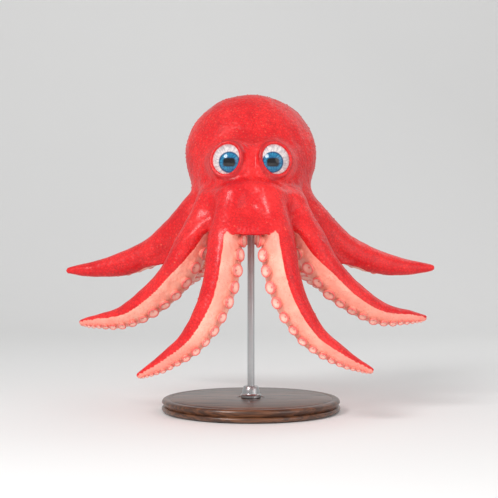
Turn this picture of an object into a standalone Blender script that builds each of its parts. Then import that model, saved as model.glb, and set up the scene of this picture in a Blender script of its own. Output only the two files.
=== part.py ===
"""Life-size octopus on a plain display stand.

Metres, +Z up. The stand's rod runs up the Z axis, its underside lies at Z = 0, and the
animal faces -Y. Names with left and right are the animal's own sides: its left is +X.
"""

import math

import bmesh
import bpy
import numpy as np
from mathutils import Vector

# Driving sizes
GAP = 0.0003                      # clearance between neighbouring solids
CROWN = np.array([0.0, -0.019, 0.1780])  # centre of the ring that the arms grow from
CROWN_RADIUS = 0.0390
CROWN_TILT = math.radians(15)     # the ring's back is this much lower than its front
ARM_HALF_WIDTH = 0.0163           # across the arm where it is stoutest
ARM_BACK = 0.0154                 # from the centreline out to the back of the arm
ARM_SOLE = 0.0117                 # from the centreline in to the sucker side
SUCKER_HEIGHT = 0.0052            # how far the row of suckers stands out
ROOT_SHARE = 0.84                 # size of an arm's root against where it is stoutest
STOUTEST = 0.25                   # where along the arm that is
TIP_SHARE = 0.20                  # size of an arm's tip
TAPER = 2.9                       # how late the arm tapers
WEB_THICKNESS = 0.0030            # at the root
WEB_MARGIN = 0.0014               # at the free edge
ARM_CUTS = (0.0, 0.47, 0.75, 1.0)         # where an arm is divided, as shares of its length
ARM_STATIONS = (8, 5, 6)                  # rings in each length

HEAD = np.array([0.0, -0.019, 0.2025])
HEAD_RADII = (0.0330, 0.0335, 0.0320)
EYE = np.array([0.0176, -0.0365, 0.2206])      # the animal's left eyeball; the other mirrors it
EYE_FACING = (0.38, -0.90, 0.20)
EYE_RADIUS = 0.0162
ORBIT_RADIUS = 0.0204
ORBIT_DEPTH = 0.0066                           # how far the orbit's centre lies behind the eyeball's
MOUTH_RADIUS = 0.0085
MOUTH_TOP = 0.1780

MANTLE = np.array([0.0, 0.0240, 0.2290])
MANTLE_RADII = (0.0600, 0.0470, 0.0610)        # across, through, and along its own axis
MANTLE_LEAN = math.radians(38)                 # from upright, backwards
MANTLE_SWELL = (0.07, 0.20)                    # how much fuller the far end is, across and through

FUNNEL_ROOT = np.array([-0.003, 0.0200, 0.1920])
FUNNEL_TIP = np.array([-0.0100, 0.0520, 0.1690])
FUNNEL_RADII = (0.0100, 0.0062)
FUNNEL_WALL = 0.0016

BASE_RADIUS = 0.080
BASE_HEIGHT = 0.012
COLLAR_RADIUS = 0.009
COLLAR_HEIGHT = 0.010
ROD_RADIUS = 0.0032
ROD_TOP = 0.1900

# Each arm of the animal's left side leaves the crown at an angle from the front, then runs
# through these points. "sole" is the way its suckers come to face once it has twisted
# between the two shares of its length given by "twist". The right side mirrors it, without
# the drift that carries the left arm's tip a little out of line. "stout" scales its section.
ARMS = {
    "front": {
        "leaves": 22.5,
        "through": [(0.0200, -0.064, 0.162), (0.0220, -0.072, 0.139), (0.0255, -0.078, 0.116),
                    (0.0340, -0.082, 0.092), (0.0490, -0.082, 0.069), (0.0705, -0.080, 0.052),
                    (0.0925, -0.076, 0.040)],
        "sole": (-0.72, -0.62, -0.30),
        "twist": (0.0, 0.30),
        "drift": (0.0065, 0.0, 0.0040),
        "stout": 1.0,
    },
    "side": {
        "leaves": 67.5,
        "through": [(0.0440, -0.036, 0.164), (0.0560, -0.038, 0.137), (0.0690, -0.036, 0.117),
                    (0.0885, -0.031, 0.099), (0.1130, -0.024, 0.085), (0.1490, -0.016, 0.080)],
        "sole": (-0.52, -0.67, -0.53),
        "twist": (0.0, 0.34),
        "drift": (0.0040, 0.0, 0.0040),
        "stout": 1.0,
    },
    "upper": {
        "leaves": 112.5,
        "through": [(0.0490, 0.000, 0.180), (0.0645, 0.007, 0.1635), (0.0830, 0.013, 0.1465),
                    (0.1015, 0.018, 0.1370), (0.1210, 0.022, 0.1305), (0.1450, 0.026, 0.1265),
                    (0.1680, 0.028, 0.1255)],
        "sole": (-0.10, 0.70, -0.70),
        "twist": (0.10, 0.50),
        "drift": (-0.0010, 0.0, 0.0025),
        "stout": 0.92,
    },
    "back": {
        "leaves": 157.5,
        "through": [(0.0240, 0.033, 0.159), (0.0420, 0.060, 0.143), (0.0613, 0.090, 0.126),
                    (0.0828, 0.118, 0.108), (0.1010, 0.143, 0.096), (0.1140, 0.167, 0.091)],
        "sole": (-0.20, -0.30, -0.93),
        "twist": (0.10, 0.50),
        "drift": (-0.0030, 0.0, 0.0050),
        "stout": 1.0,
    },
}

# Each web: the arms on its two sides, how far along each of them it reaches, how much shallower
# it is halfway between them, and how far it keeps the way it leaves an arm's side, as a share
# of its span.
WEBS = {
    "web_front": (("front", "right"), ("front", "left"), (0.032, 0.032), -0.19, 0.08),
    "web_front_side_left": (("front", "left"), ("side", "left"), (0.029, 0.041), 0.22, 0.20),
    "web_side_upper_left": (("side", "left"), ("upper", "left"), (0.082, 0.082), 0.30, 0.30),
    "web_upper_back_left": (("upper", "left"), ("back", "left"), (0.080, 0.080), 0.34, 0.30),
    "web_back": (("back", "left"), ("back", "right"), (0.066, 0.066), 0.38, 0.30),
    "web_upper_back_right": (("back", "right"), ("upper", "right"), (0.080, 0.080), 0.34, 0.30),
    "web_side_upper_right": (("upper", "right"), ("side", "right"), (0.082, 0.082), 0.30, 0.30),
    "web_front_side_right": (("side", "right"), ("front", "right"), (0.041, 0.029), 0.22, 0.20),
}
WEB_GAP = 0.0008                  # clearance between a web and the arms
WEB_ROOT = 0.0052                 # where a web starts, out from the crown
WEB_SLIMMEST = 0.20               # most of its span that half a web's thickness takes between close arms


def unit(v):
    return v / np.linalg.norm(v)


def crown_way(angle):
    """The way out from the crown's centre at an angle from the front, in the ring's own plane."""
    out = -math.cos(angle)
    return np.array([math.sin(angle), out * math.cos(CROWN_TILT), -out * math.sin(CROWN_TILT)])


def ease(x):
    """0 to 1 along a smooth S, for x from 0 to 1."""
    x = np.clip(x, 0.0, 1.0)
    return x * x * (3 - 2 * x)


class Arm:
    """An arm's centreline by length, the way its sides and suckers face, and its section."""

    def __init__(self, name, side):
        row = ARMS[name]
        self.mirror = np.array([1.0 if side == "left" else -1.0, 1.0, 1.0])
        root = CROWN + CROWN_RADIUS * crown_way(math.radians(row["leaves"]))
        through = np.array([root, *row["through"]])
        if side == "left":
            through += (np.arange(len(through)) / (len(through) - 1))[:, None] ** 1.5 * row["drift"]
        self.line = catmull_rom(list(through)) * self.mirror
        steps = np.linalg.norm(np.diff(self.line, axis=0), axis=1)
        self.lengths = np.concatenate([[0.0], np.cumsum(steps)])
        self.length = self.lengths[-1]
        self.sole = unit(np.array(row["sole"])) * self.mirror
        self.twist = row["twist"]
        self.stout = row["stout"]
        self.stations = [np.linspace(start, end, count)
                         for start, end, count in zip(ARM_CUTS, ARM_CUTS[1:], ARM_STATIONS)]

    def point(self, u):
        return np.array([np.interp(u * self.length, self.lengths, self.line[:, k]) for k in range(3)])

    def frame(self, u):
        """Along the arm, across it towards the animal's left seen from its back, and out of its sole."""
        step = 0.01
        along = unit(self.point(min(u + step, 1.0)) - self.point(max(u - step, 0.0)))
        turn = ease((u - self.twist[0]) / (self.twist[1] - self.twist[0]))
        down = np.array([0.0, 0.0, -1.0])
        down = unit(down - along * down.dot(along))
        sole = unit(self.sole - along * self.sole.dot(along))
        sole = (1 - turn) * down + turn * sole
        sole = unit(sole - along * sole.dot(along))
        return along, np.cross(along, sole), sole

    def size(self, u):
        """Share of the full size: stoutest a little way out, then tapering to a fine tip."""
        swell = ROOT_SHARE + (1 - ROOT_SHARE) * ease(u / STOUTEST)
        return self.stout * swell * (1 - (1 - TIP_SHARE) * u ** TAPER)

    def wall(self, u):
        """Half the thickness of the web where it joins the arm's side."""
        return 0.5 * min(WEB_THICKNESS, 0.5 * ARM_HALF_WIDTH * self.size(u))

    def section(self, u):
        """The ring of points around the arm: its back from side to side, then its sole."""
        centre, (_, across, sole), size, wall = self.point(u), self.frame(u), self.size(u), self.wall(u)
        width, back, depth = (size * v for v in (ARM_HALF_WIDTH, ARM_BACK, ARM_SOLE))
        suckers = size * SUCKER_HEIGHT
        ring = []
        for k in range(5):
            angle = math.pi * k / 4
            ring.append((-width * math.cos(angle), -wall - (back - wall) * math.sin(angle)))
        ring += [(width, wall), (0.66 * width, wall + 0.74 * (depth - wall)),
                 (0.24 * width, depth + suckers), (-0.24 * width, depth + suckers),
                 (-0.66 * width, wall + 0.74 * (depth - wall)), (-width, wall)]
        return [centre + a * across + b * sole for a, b in ring]

    def side_line(self, u, sign):
        """The middle of the wall on one side of the arm as it is faceted, where a web joins it."""
        stations = np.unique(np.concatenate(self.stations))
        sides = [self.point(at) + sign * (ARM_HALF_WIDTH * self.size(at) + WEB_GAP) * self.frame(at)[1]
                 for at in stations]
        return np.array([np.interp(u, stations, [side[k] for side in sides]) for k in range(3)])


def catmull_rom(points, steps=24):
    """A smooth line through the points."""
    ends = [2 * points[0] - points[1], *points, 2 * points[-1] - points[-2]]
    line = []
    for a, b, c, d in zip(ends, ends[1:], ends[2:], ends[3:]):
        for t in np.arange(steps) / steps:
            line.append(0.5 * (2 * b + (c - a) * t + (2 * a - 5 * b + 4 * c - d) * t ** 2
                               + (3 * b - a - 3 * c + d) * t ** 3))
    return np.array([*line, points[-1]])


def smooth_min(a, b, reach):
    """The nearer of two surfaces, rounded into each other over the reach."""
    h = np.clip(0.5 + 0.5 * (b - a) / reach, 0.0, 1.0)
    return b + (a - b) * h - reach * h * (1 - h)


def head_distance(p):
    """Signed distance, about, from the head with its two orbits."""
    q = (p - HEAD) / HEAD_RADII
    found = (np.linalg.norm(q) - 1) * min(HEAD_RADII)
    for side in (1, -1):
        orbit = (EYE - ORBIT_DEPTH * unit(np.array(EYE_FACING))) * (side, 1, 1)
        found = smooth_min(found, np.linalg.norm(p - orbit) - ORBIT_RADIUS, 0.008)
    return found


def reach_of(distance, start, direction, furthest=0.08):
    """How far from start the surface lies, found by halving."""
    near, far = 0.0, furthest
    for _ in range(30):
        middle = 0.5 * (near + far)
        if distance(start + middle * direction) < 0:
            near = middle
        else:
            far = middle
    return near


def new_material(name, colour, roughness, metallic=0.0):
    material = bpy.data.materials.new(name)
    material.use_nodes = True
    shader = material.node_tree.nodes["Principled BSDF"]
    shader.inputs["Base Color"].default_value = (*colour, 1.0)
    shader.inputs["Roughness"].default_value = roughness
    shader.inputs["Metallic"].default_value = metallic
    return material


def solid(name, points, faces, material):
    """A closed mesh object, with its faces turned outwards."""
    mesh = bpy.data.meshes.new(name)
    mesh.from_pydata([tuple(p) for p in points], [], faces)
    shape = bmesh.new()
    shape.from_mesh(mesh)
    bmesh.ops.remove_doubles(shape, verts=shape.verts, dist=1e-7)
    bmesh.ops.triangulate(shape, faces=shape.faces, quad_method="SHORT_EDGE", ngon_method="BEAUTY")
    bmesh.ops.recalc_face_normals(shape, faces=shape.faces)
    if shape.calc_volume(signed=True) < 0:
        bmesh.ops.reverse_faces(shape, faces=shape.faces)
    shape.to_mesh(mesh)
    shape.free()
    mesh.shade_smooth()
    mesh.set_sharp_from_angle(angle=math.radians(50))
    mesh.materials.append(material)
    placed = bpy.data.objects.new(name, mesh)
    bpy.context.scene.collection.objects.link(placed)
    return placed


def loft(rings):
    """Points and faces of rings of equal count joined in turn. A ring of one point closes an end."""
    points = [p for ring in rings for p in ring]
    starts = np.concatenate([[0], np.cumsum([len(ring) for ring in rings])])
    faces = []
    for first, second, ring, after in zip(starts, starts[1:], rings, rings[1:]):
        count = max(len(ring), len(after))
        for k in range(count):
            a, b = first + k % len(ring), first + (k + 1) % len(ring)
            c, d = second + (k + 1) % len(after), second + k % len(after)
            faces.append([int(v) for v in dict.fromkeys((a, b, c, d))])
    if len(rings[0]) > 1:
        faces.append([int(starts[0] + k) for k in reversed(range(len(rings[0])))])
    if len(rings[-1]) > 1:
        faces.append([int(starts[-2] + k) for k in range(len(rings[-1]))])
    return points, faces


def cut(target, cutter_points, cutter_faces, name):
    """Takes a shape out of the target, and keeps the cutter hidden."""
    cutter = solid(name, cutter_points, cutter_faces, target.data.materials[0])
    cutter.hide_render = True
    cutter.display_type = "WIRE"
    modifier = target.modifiers.new(name, "BOOLEAN")
    modifier.operation = "DIFFERENCE"
    modifier.object = cutter


def ball(centre, radii, around=20, rings=11, axis=None):
    """Rings of a ball or egg about an axis."""
    axis = Vector((0, 0, 1)) if axis is None else Vector(axis)
    turn = np.array(axis.to_track_quat("Z", "Y").to_matrix())
    made = []
    for k in range(rings + 1):
        polar = math.pi * k / rings
        count = 1 if k in (0, rings) else around
        made.append([centre + turn @ (radii * np.array([
            math.sin(polar) * math.cos(2 * math.pi * n / around),
            math.sin(polar) * math.sin(2 * math.pi * n / around), math.cos(polar)]))
            for n in range(count)])
    return made


def turned(profile, centre=(0.0, 0.0), around=32):
    """Rings about an upright axis from (radius, height) pairs. A radius of 0 is a pole."""
    made = []
    for radius, height in profile:
        count = around if radius > 0 else 1
        made.append([np.array([centre[0] + radius * math.cos(2 * math.pi * n / around),
                               centre[1] + radius * math.sin(2 * math.pi * n / around), height])
                     for n in range(count)])
    return made


def build_arms(arms, material):
    """Each arm in three lengths, a gap apart."""
    for (name, side), arm in arms.items():
        half_gap = 0.5 * GAP / arm.length
        for part, stations in zip(("base", "middle", "tip"), arm.stations):
            start, *between, end = stations
            last = end == 1
            rings = [arm.section(u) for u in (start + half_gap, *between, end - (0 if last else half_gap))]
            if last:
                along, _, _ = arm.frame(1.0)
                rings.append([arm.point(1.0) + 0.5 * ARM_HALF_WIDTH * TIP_SHARE * along])
            solid(f"arm_{name}_{side}_{part}", *loft(rings), material)


def web_middle(arms, row, f, t):
    """A point halfway through a web's thickness: f runs from its root to its free edge, t from arm to arm."""
    first, second, reach, scoop, pull = row
    depth = f * (1 - scoop * 4 * t * (1 - t))
    ends = []
    for name, sign, furthest in ((first, 1, reach[0]), (second, -1, reach[1])):
        u = depth * (min(reach) + (furthest - min(reach)) * f * f) / arms[name].length
        ends.append((arms[name].side_line(u, sign), sign * arms[name].frame(u)[1]))
    (a, out_a), (b, out_b) = ends
    pull = pull * np.linalg.norm(b - a)
    c, d = a + pull * out_a, b + pull * out_b
    s = 1 - t
    return s ** 3 * a + 3 * s * s * t * c + 3 * s * t * t * d + t ** 3 * b


def web_ring(arms, row, f, columns=5):
    """The ring round a web at a share of its depth: along its outer face and back along its inner one."""
    outer, inner = [], []
    span = np.linalg.norm(web_middle(arms, row, f, 1) - web_middle(arms, row, f, 0))
    half = min(0.5 * (WEB_THICKNESS + (WEB_MARGIN - WEB_THICKNESS) * f), WEB_SLIMMEST * span)
    for k in range(columns + 1):
        t, step = k / columns, 0.01
        middle = web_middle(arms, row, f, t)
        sideways = web_middle(arms, row, f, min(t + step, 1)) - web_middle(arms, row, f, max(t - step, 0))
        downwards = web_middle(arms, row, min(f + step, 1), t) - web_middle(arms, row, max(f - step, 0), t)
        out = unit(np.cross(downwards, sideways))
        outer.append(middle + half * out)
        inner.append(middle - half * out)
    return outer + inner[::-1]


def build_webs(arms, material):
    for name, row in WEBS.items():
        start = WEB_ROOT / min(row[2])
        rings = [web_ring(arms, row, f) for f in np.linspace(start, 1.0, 8)]
        solid(name, *loft(rings), material)


def crown_rings(arms):
    """The ring over the backs of all the arms' roots and the one under their soles, in order."""
    over, under = [], []
    for name, side in [(n, "left") for n in ARMS] + [(n, "right") for n in reversed(ARMS)]:
        ring = arms[name, side].section(0.0)
        back, sole = ring[:5], ring[5:][::-1]
        over += back
        middles = [0.5 * (sole[k] + sole[k + 1]) for k in (1, 2, 3)]
        under += [sole[0], *middles, sole[5]]
    return over, under


def build_head(arms, flesh, eye_material):
    """The head from the arms' roots up, its eyes, and the mouth under it."""
    over, under = crown_rings(arms)
    angles = [math.atan2(p[0] - CROWN[0], -(p[1] - CROWN[1])) for p in over]
    mouth_roof = [CROWN * (1, 1, 0) + (0, 0, MOUTH_TOP) + 1.3 * MOUTH_RADIUS * np.array(
        [math.sin(a), -math.cos(a), 0]) for a in angles]
    rings = [mouth_roof, under, over]
    axis = np.array([0.0, math.sin(CROWN_TILT), math.cos(CROWN_TILT)])
    for height in (0.018, 0.024, 0.030, 0.036, 0.042, 0.047, 0.0515, 0.055):
        centre = CROWN + height * axis
        ways = [crown_way(a) for a in angles]
        rings.append([centre + reach_of(head_distance, centre, way) * way for way in ways])
    rings.append([CROWN + (0.04 + reach_of(head_distance, CROWN + 0.04 * axis, axis)) * axis])
    points, faces = loft(rings)
    head = solid("head", points, faces, flesh)
    for side, name in ((1, "left"), (-1, "right")):
        centre = EYE * (side, 1, 1)
        facing = np.array(EYE_FACING) * (side, 1, 1)
        cut(head, *loft(ball(centre, EYE_RADIUS + GAP, 20, 11, facing)), f"socket_{name}")
        solid(f"eye_{name}", *loft(ball(centre, EYE_RADIUS, 18, 11, facing)), eye_material)
    bore = ROD_RADIUS + GAP
    cut(head, *loft(turned([(bore, 0.10), (bore, ROD_TOP + GAP)], around=16)), "rod_socket")
    return head


def build_mouth(flesh):
    """The round lips in the middle of the arms, flat where they meet the head."""
    top = MOUTH_TOP - GAP
    profile = [(0, top), (MOUTH_RADIUS, top), (MOUTH_RADIUS, top - 0.004),
               (0.75 * MOUTH_RADIUS, top - 0.0075), (0.35 * MOUTH_RADIUS, top - 0.0090), (0, top - 0.0100)]
    solid("mouth", *loft(turned(profile, CROWN[:2], 20)), flesh)


def grown(thing, amount):
    """Points and faces of a mesh, before any cut, with every point moved out along its normal."""
    points = [np.array(v.co + amount * v.normal) for v in thing.data.vertices]
    return points, [list(face.vertices) for face in thing.data.polygons]


def mantle_rings(around=36, rings=15):
    """The sac, round its own leaning axis and fuller at the far end."""
    axis = Vector((0, math.sin(MANTLE_LEAN), math.cos(MANTLE_LEAN)))
    turn = np.array(axis.to_track_quat("Z", "X").to_matrix())
    made = []
    for k in range(rings + 1):
        polar = math.pi * k / rings
        along = math.cos(polar)
        wide, deep = (radius * (1 + swell * along) for radius, swell in zip(MANTLE_RADII, MANTLE_SWELL))
        count = 1 if k in (0, rings) else around
        ring = []
        for n in range(count):
            turned_by = 2 * math.pi * n / around
            sideways = wide * math.sin(polar) * math.sin(turned_by)
            through = deep * math.sin(polar) * math.cos(turned_by)
            local = np.array([through, sideways, MANTLE_RADII[2] * along])
            ring.append(MANTLE + turn @ local)
        made.append(ring)
    return made


def build_mantle(head, flesh):
    mantle = solid("mantle", *loft(mantle_rings()), flesh)
    cut(mantle, *grown(head, 1.5 * GAP), "head_clearance")
    return mantle


def build_funnel(flesh):
    """The breathing tube behind the head: a hollow cone, open at its tip."""
    way = unit(FUNNEL_TIP - FUNNEL_ROOT)
    across = unit(np.cross(way, (0, 0, 1)))
    up = np.cross(across, way)
    length = np.linalg.norm(FUNNEL_TIP - FUNNEL_ROOT)
    profile = [(0.0, 0.0), (FUNNEL_RADII[0], 0.0), (0.93 * FUNNEL_RADII[0], 0.45 * length),
               (FUNNEL_RADII[1], length), (FUNNEL_RADII[1] - FUNNEL_WALL, length),
               (FUNNEL_RADII[1] - FUNNEL_WALL, 0.6 * length), (0.0, 0.55 * length)]
    rings = []
    for radius, along in profile:
        turns = [2 * math.pi * n / 18 for n in range(18 if radius else 1)]
        rings.append([FUNNEL_ROOT + along * way + radius * (math.cos(t) * across + math.sin(t) * up)
                      for t in turns])
    return solid("funnel", *loft(rings), flesh)


def build_stand(metal, wood):
    """A flat round base with a collar, and one rod up into the body."""
    edge = 0.002
    base = [(0, 0), (BASE_RADIUS - 0.5 * edge, 0), (BASE_RADIUS, 0.5 * edge),
            (BASE_RADIUS, BASE_HEIGHT - edge), (BASE_RADIUS - edge, BASE_HEIGHT), (0, BASE_HEIGHT)]
    solid("stand_base", *loft(turned(base, around=48)), wood)
    low, high = BASE_HEIGHT + GAP, BASE_HEIGHT + GAP + COLLAR_HEIGHT
    bore = ROD_RADIUS + GAP
    collar = turned([(bore, low), (COLLAR_RADIUS, low), (COLLAR_RADIUS, high - 0.002),
                     (COLLAR_RADIUS - 0.002, high), (bore, high)], around=24)
    points, faces = loft(collar)
    around = len(collar[0])
    last = 4 * around
    faces = faces[:-2] + [[last + n, last + (n + 1) % around, (n + 1) % around, n] for n in range(around)]
    solid("stand_collar", points, faces, metal)
    rod = [(0, low), (ROD_RADIUS, low), (ROD_RADIUS, ROD_TOP - 0.001),
           (ROD_RADIUS - 0.001, ROD_TOP), (0, ROD_TOP)]
    solid("stand_rod", *loft(turned(rod, around=16)), metal)


def main():
    for thing in list(bpy.data.objects):
        bpy.data.objects.remove(thing)
    skin = new_material("skin", (0.72, 0.045, 0.035), 0.35)
    iris = new_material("iris", (0.20, 0.42, 0.50), 0.08)
    metal = new_material("rod_steel", (0.55, 0.55, 0.55), 0.3, 1.0)
    wood = new_material("base_wood", (0.10, 0.05, 0.03), 0.4)

    arms = {(name, side): Arm(name, side) for side in ("left", "right") for name in ARMS}
    build_arms(arms, skin)
    build_webs(arms, skin)
    head = build_head(arms, skin, iris)
    build_mouth(skin)
    mantle = build_mantle(head, skin)
    funnel = build_funnel(skin)
    cut(funnel, *grown(mantle, 1.5 * GAP), "mantle_over_funnel")
    build_stand(metal, wood)


main()
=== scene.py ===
"""A life-size octopus on a display stand.

One skin covers the whole animal, with its suckers, warts and eyes. The stand is a turned base,
a collar and a rod. Metres, +Z up. The animal faces -Y, and left and right are its own sides: its left is +X.
"""

import math

import bmesh
import bpy
import numpy as np
import openvdb
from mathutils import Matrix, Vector
from mathutils.bvhtree import BVHTree


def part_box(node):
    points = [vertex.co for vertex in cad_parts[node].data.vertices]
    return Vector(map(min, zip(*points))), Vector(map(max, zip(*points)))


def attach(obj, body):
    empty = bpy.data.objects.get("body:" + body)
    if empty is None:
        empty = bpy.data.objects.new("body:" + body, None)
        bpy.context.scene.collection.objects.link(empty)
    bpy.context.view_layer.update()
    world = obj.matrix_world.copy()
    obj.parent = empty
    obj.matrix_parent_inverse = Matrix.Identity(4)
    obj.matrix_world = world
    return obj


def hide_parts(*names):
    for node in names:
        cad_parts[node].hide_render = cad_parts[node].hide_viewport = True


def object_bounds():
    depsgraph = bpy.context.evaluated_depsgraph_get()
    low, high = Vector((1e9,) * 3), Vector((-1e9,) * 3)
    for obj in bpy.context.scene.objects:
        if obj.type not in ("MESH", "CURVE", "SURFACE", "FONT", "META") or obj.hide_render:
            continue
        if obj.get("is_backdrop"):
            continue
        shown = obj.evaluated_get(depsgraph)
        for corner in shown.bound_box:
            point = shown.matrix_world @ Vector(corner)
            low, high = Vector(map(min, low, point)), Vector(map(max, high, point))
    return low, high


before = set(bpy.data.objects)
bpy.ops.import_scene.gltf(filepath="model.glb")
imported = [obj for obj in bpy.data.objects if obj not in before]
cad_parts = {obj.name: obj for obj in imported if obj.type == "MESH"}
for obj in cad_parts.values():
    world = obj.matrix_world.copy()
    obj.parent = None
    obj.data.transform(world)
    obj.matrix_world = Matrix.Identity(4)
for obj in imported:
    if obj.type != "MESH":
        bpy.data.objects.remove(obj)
cad_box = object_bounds()

# Sizes and ways of the animal
CROWN = np.array([0.0, -0.019, 0.1780])  # centre of the ring that the arms grow from
CROWN_RADIUS = 0.0390
CROWN_TILT = math.radians(15)  # the ring's back is this much lower than its front
CROWN_RADII = (0.0430, 0.0430, 0.0125)  # of the flesh inside the ring
CROWN_RISE = 0.001  # how far over the ring's centre that flesh lies
COLLAR_RADII = (0.0410, 0.0410, 0.0165)  # of the flesh over it, up to the head
COLLAR_RISE = 0.006
ARM_HALF_WIDTH = 0.0163  # across the arm where it is stoutest
ARM_BACK = 0.0154  # from the centreline out to the back of the arm
ARM_SOLE = 0.0117  # from the centreline in to the sucker side
SOLE_RIDGE = 0.0012  # how far the flesh stands out along the row of suckers
RIDGE_SHARE = 0.42  # of the arm's half width, that this ridge takes up on each side
SQUARENESS = (2.7, 2.0)  # of the section's sucker side and of its back; 2 is an oval
ROUND_END = 0.8  # radius of the rounding at an arm's tip, against its half width there
RED_MARGIN = 0.0040  # width of the back's red inside a web's free edge
RED_EDGE = 0.62  # how far round from an arm's side its red runs, where no web joins it
RED_FADE = 0.026  # over how much of the arm that comes in past a web's end
RED_SOFT = 0.16  # how soft its edge is, against the arm's half width
RED_STRIP = 30.0  # how much of the sole a slanting web turns red, for each metre of its slant
ROOT_SHARE = 0.84  # size of an arm's root against where it is stoutest
STOUTEST = 0.25  # where along the arm that is
TIP_SHARE = 0.20  # size of an arm's tip
TAPER = 2.9  # how late the arm tapers
WEB_ROOT_HALF = 0.0017  # half a web's thickness at the crown
WEB_MARGIN_HALF = 0.0014  # and at its free edge
WEB_TUCK = 0.0025  # how deep a web's sides are sunk in the arms

HEAD = np.array([0.0, -0.019, 0.2025])
HEAD_RADII = np.array([0.0330, 0.0335, 0.0320])
EYE = np.array([0.0176, -0.0365, 0.2206])  # the animal's left eyeball; the other mirrors it
EYE_FACING = np.array([0.38, -0.90, 0.20])
EYE_RADIUS = 0.0162
GAZE = np.array([0.07, -0.99, -0.09])  # the way its pupil looks
EYE_OPENING = (math.radians(56), math.radians(61))  # half the lids' opening, across and up
LID_THICKNESS = 0.0018  # half of it, at the rolled rim
LID_OUT = 0.0010  # how far over the eyeball the rim's middle lies
LID_CUT = (0.0030, 0.0042)  # the same for the cut that opens the orbit, and half the cut's depth
LID_REACH = 0.034  # nothing of the lids lies farther than this from the eyeball's centre
LID_FOLDS = ((0.00045, 0.0042, 0.0011), (0.00030, 0.0074, 0.0013))  # depth, distance from the rim, width
ORBIT_RADIUS = 0.0204
ORBIT_DEPTH = 0.0066  # how far the orbit's centre lies behind the eyeball's
BROW = 0.0012  # how far the flesh swells past the bare orbit
MOUTH_RADIUS = 0.0066
MOUTH_HEIGHT = 0.1672
LIP_THICKNESS = 0.0021  # half of it, as for the lids

MANTLE = np.array([0.0, 0.0240, 0.2290])
MANTLE_RADII = (0.0600, 0.0470, 0.0610)  # across, through, and along its own axis
MANTLE_LEAN = math.radians(38)  # from upright, backwards
MANTLE_SWELL = (0.07, 0.20)  # how much fuller the far end is, across and through

FUNNEL_ROOT = np.array([-0.003, 0.0200, 0.1920])
FUNNEL_TIP = np.array([-0.0100, 0.0520, 0.1690])
FUNNEL_RADII = (0.0100, 0.0062)
FUNNEL_BORE = 0.0040
FUNNEL_BORE_DEPTH = 0.014

# Sizes of the stand
BASE_RADIUS = 0.080
BASE_HEIGHT = 0.012
COLLAR_RADIUS = 0.009
COLLAR_HEIGHT = 0.010
ROD_RADIUS = 0.0032
ROD_TOP = 0.1900

# Each arm of the animal's left side leaves the crown at an angle from the front, then runs
# through these points. "sole" is the way its suckers come to face once it has twisted
# between the two shares of its length given by "twist". The right side mirrors it, without
# the drift that carries the left arm's tip a little out of line. "stout" scales its section.
ARMS = {
    "front": {
        "leaves": 22.5,
        "through": [(0.0200, -0.064, 0.162), (0.0220, -0.072, 0.139), (0.0255, -0.078, 0.116),
                    (0.0340, -0.082, 0.092), (0.0490, -0.082, 0.069), (0.0705, -0.080, 0.052),
                    (0.0925, -0.076, 0.040)],
        "sole": (-0.72, -0.62, -0.30), "twist": (0.0, 0.30),
        "drift": (0.0065, 0.0, 0.0040), "stout": 1.0,
    },
    "side": {
        "leaves": 67.5,
        "through": [(0.0440, -0.036, 0.164), (0.0560, -0.038, 0.137), (0.0690, -0.036, 0.117),
                    (0.0885, -0.031, 0.099), (0.1130, -0.024, 0.085), (0.1490, -0.016, 0.080)],
        "sole": (-0.52, -0.67, -0.53), "twist": (0.0, 0.34),
        "drift": (0.0040, 0.0, 0.0040), "stout": 1.0,
    },
    "upper": {
        "leaves": 112.5,
        "through": [(0.0490, 0.000, 0.180), (0.0645, 0.007, 0.1635), (0.0830, 0.013, 0.1465),
                    (0.1015, 0.018, 0.1370), (0.1210, 0.022, 0.1305), (0.1450, 0.026, 0.1265),
                    (0.1680, 0.028, 0.1255)],
        "sole": (-0.10, 0.70, -0.70), "twist": (0.10, 0.50),
        "drift": (-0.0010, 0.0, 0.0025), "stout": 0.92,
    },
    "back": {
        "leaves": 157.5,
        "through": [(0.0240, 0.033, 0.159), (0.0420, 0.060, 0.143), (0.0613, 0.090, 0.126),
                    (0.0828, 0.118, 0.108), (0.1010, 0.143, 0.096), (0.1140, 0.167, 0.091)],
        "sole": (-0.20, -0.30, -0.93), "twist": (0.10, 0.50),
        "drift": (-0.0030, 0.0, 0.0050), "stout": 1.0,
    },
}

# The webs between neighbouring arms: how far along each of the two a web reaches, how much
# shallower it is halfway between them, and how far it keeps the way it leaves an arm's side,
# as a share of its span.
WEBS = {
    ("front", "front"): ((0.032, 0.032), -0.19, 0.08),
    ("front", "side"): ((0.027, 0.043), 0.22, 0.20),
    ("side", "upper"): ((0.082, 0.082), 0.30, 0.30),
    ("upper", "back"): ((0.080, 0.080), 0.34, 0.30),
    ("back", "back"): ((0.066, 0.066), 0.38, 0.30),
}

# How softly one part of the flesh runs into the next: the width of the blend between them
ARM_BLEND = 0.0050
WEB_BLEND = 0.0042
CROWN_BLEND = 0.0060
COLLAR_BLEND = 0.0100
ORBIT_BLEND = 0.0080
HEAD_BLEND = (0.0080, 0.0180)  # beside the eyes, and how much softer away from them
FROM_EYES = (0.020, 0.018)  # how far from an eyeball's centre that starts, and over what distance
MANTLE_BLEND = (0.0140, -0.0105, 0.0120)  # on top, and how much more behind and beside
BEHIND = (0.012, 0.030)  # where along Y behind starts, and over what distance
BESIDE = (0.022, 0.024, 0.020)  # where along X behind ends and beside starts, and over what distance
FUNNEL_BLEND = 0.0040
CUT_BLEND = 0.0010  # where the lids are cut open
RIM_BLEND = 0.0024  # where their rolled rims grow on
PART_SOFT = 0.0012  # how sharply one part's colour gives way to the next one's
CROWN_SOFT = 0.006  # over what height the crown's turns from the suckers' to the back's
HEAD_FOOT = (0.1745, 0.003)  # the height where the head's does so, and over what height

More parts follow.
